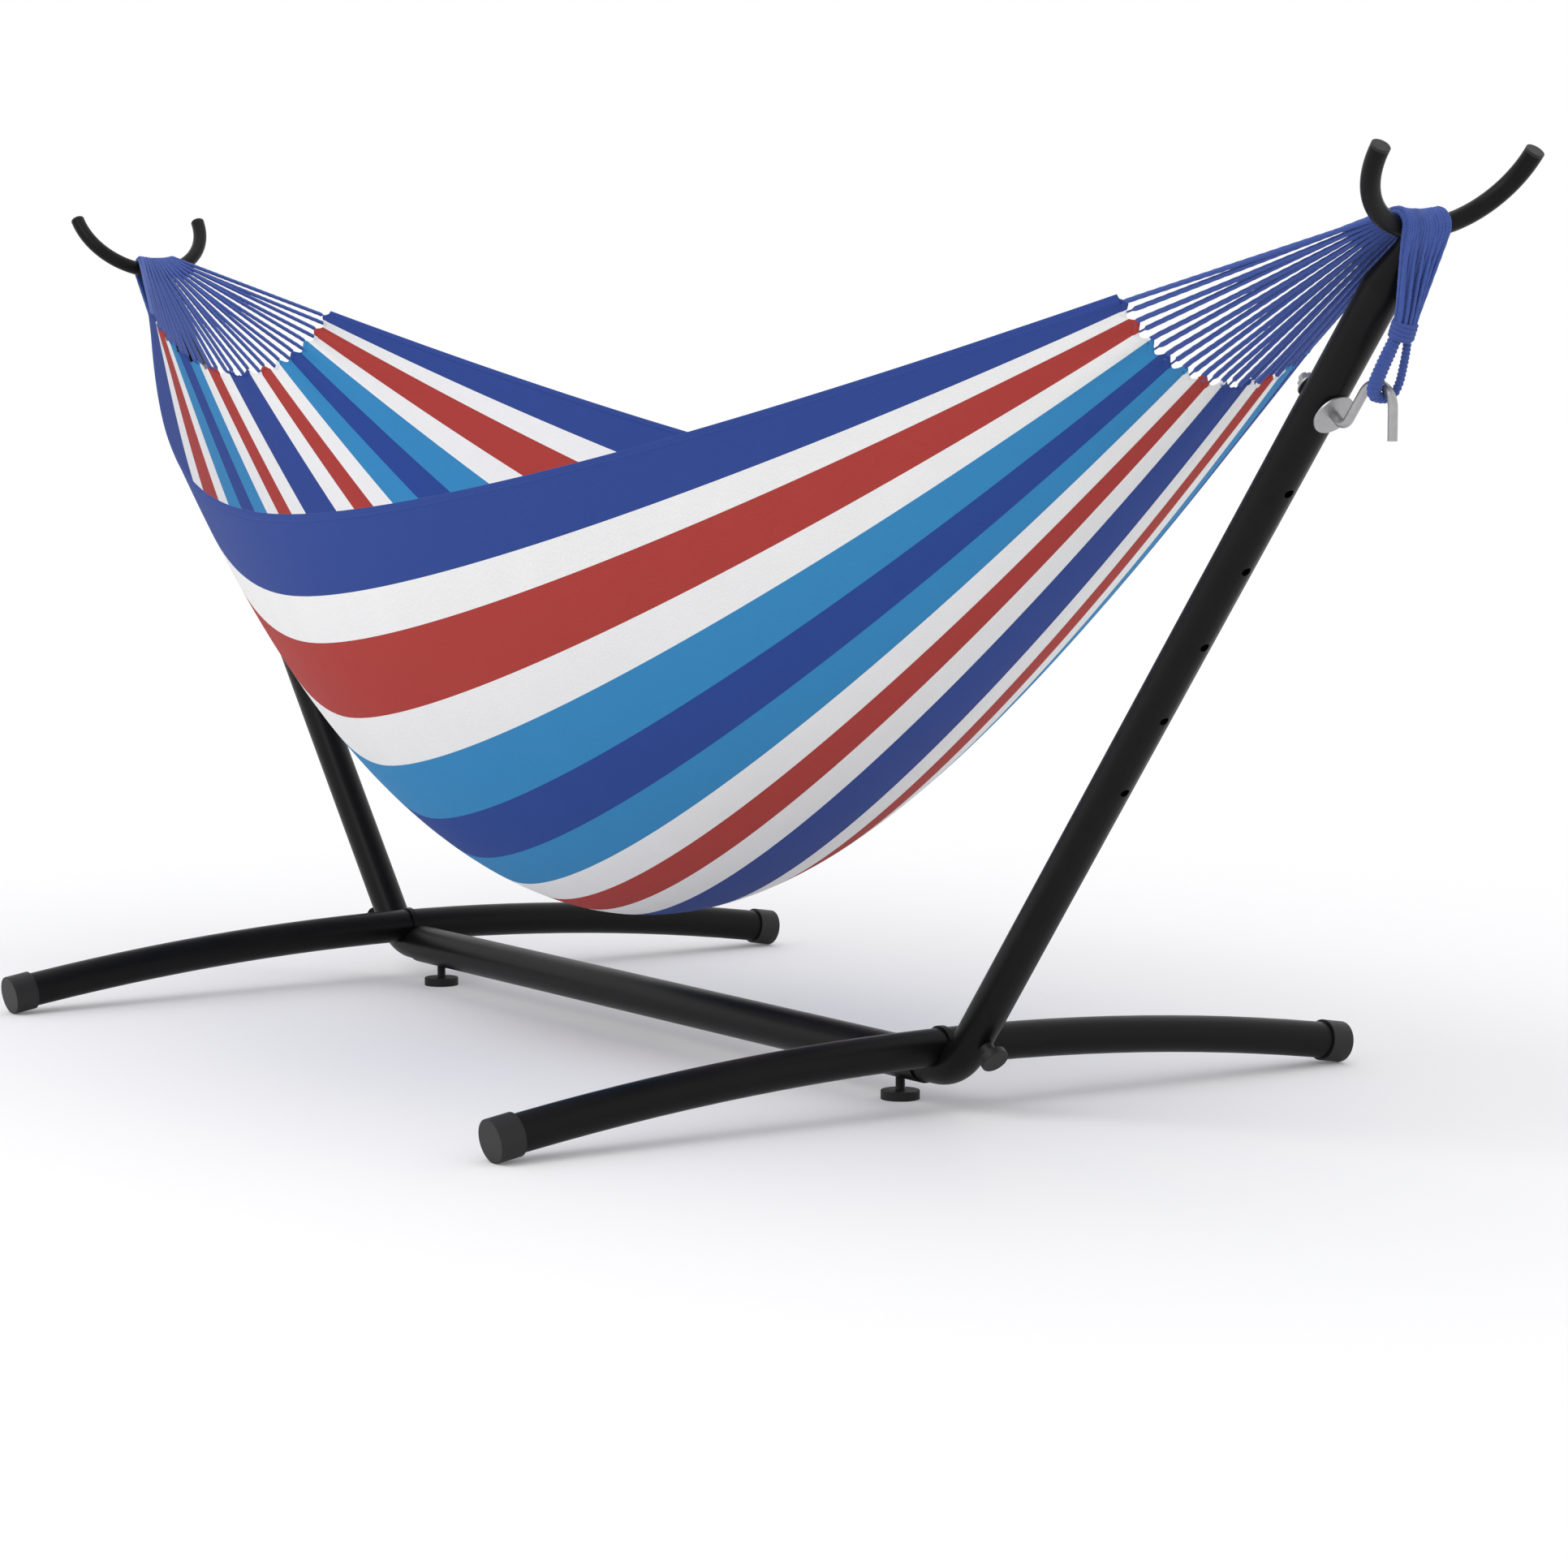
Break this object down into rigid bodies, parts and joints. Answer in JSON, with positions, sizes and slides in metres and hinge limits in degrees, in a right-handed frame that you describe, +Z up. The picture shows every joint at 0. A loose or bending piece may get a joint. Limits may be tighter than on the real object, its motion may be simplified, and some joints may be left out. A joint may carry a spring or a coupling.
{
  "type": "hammock with stand",
  "caption": "Striped woven hammock hung by cords over two cradles on a take-down tubular steel stand with arched feet and sloped posts.",
  "frame": {"origin": "on the floor under the middle of the base beam", "axes": "+X along the beam, +Y across the stand, +Z up"},
  "size_m": [2.9484, 1.2078, 1.0682],
  "materials": {
    "black_coat": "satin powder coat with a fine grain",
    "black_steel": "black screw thread",
    "black_plastic": "moulded, slightly grained",
    "zinc": "zinc plated",
    "blue_cord": "braided polyester cord",
    "striped_cotton": "woven stripes of royal blue, white, red and sky blue"
  },
  "bodies": {
    "stand": {"base_beam": "black_coat", "elbow_right": "black_coat", "post_right": "black_coat", "foot_tube_front_right": "black_coat", "foot_tube_rear_right": "black_coat", "end_cap_front_right": "black_plastic", "end_cap_rear_right": "black_plastic", "cradle_right": "black_coat", "cradle_plugs_right": "black_plastic", "levelling_nut_right": "zinc", "knob_nut_right": "zinc", "hook_bolt_right": "zinc", "hook_washer_right": "zinc", "hook_inner_washer_right": "zinc", "hook_nut_right": "zinc", "eye_loop_right": "blue_cord", "whipping_right": "blue_cord", "cord_bundle_right": "blue_cord", "elbow_left": "black_coat", "post_left": "black_coat", "foot_tube_front_left": "black_coat", "foot_tube_rear_left": "black_coat", "end_cap_front_left": "black_plastic", "end_cap_rear_left": "black_plastic", "cradle_left": "black_coat", "cradle_plugs_left": "black_plastic", "levelling_nut_left": "zinc", "knob_nut_left": "zinc", "hook_bolt_left": "zinc", "hook_washer_left": "zinc", "hook_inner_washer_left": "zinc", "hook_nut_left": "zinc", "eye_loop_left": "blue_cord", "whipping_left": "blue_cord", "cord_bundle_left": "blue_cord"},
    "hammock": {"hammock_bed": "striped_cotton", "suspension_cords_right": "blue_cord", "suspension_cords_left": "blue_cord"},
    "levelling_foot_right": {"levelling_pad_right": "black_plastic", "levelling_stem_right": "black_steel"},
    "clamp_knob_right": {"knob_right": "black_plastic", "knob_stud_right": "zinc"},
    "levelling_foot_left": {"levelling_pad_left": "black_plastic", "levelling_stem_left": "black_steel"},
    "clamp_knob_left": {"knob_left": "black_plastic", "knob_stud_left": "zinc"}
  },
  "joints": [
    {"name": "hammock_swing", "type": "hinge", "parent": "stand", "child": "hammock", "pos_m": [0, 0, 1], "axis": [1, 0, 0], "range_deg": [-25, 25]},
    {"name": "levelling_right", "type": "slide", "parent": "stand", "child": "levelling_foot_right", "axis": [0, 0, 1], "range_m": [-0.01, 0.01]},
    {"name": "knob_turn_right", "type": "hinge", "parent": "stand", "child": "clamp_knob_right", "pos_m": [0.71595, 0, 0.07853], "axis": [0.78, 0, -0.6258], "continuous": true},
    {"name": "levelling_left", "type": "slide", "parent": "stand", "child": "levelling_foot_left", "axis": [0, 0, 1], "range_m": [-0.01, 0.01]},
    {"name": "knob_turn_left", "type": "hinge", "parent": "stand", "child": "clamp_knob_left", "pos_m": [-0.71595, 0, 0.07853], "axis": [-0.78, 0, -0.6258], "continuous": true}
  ]
}
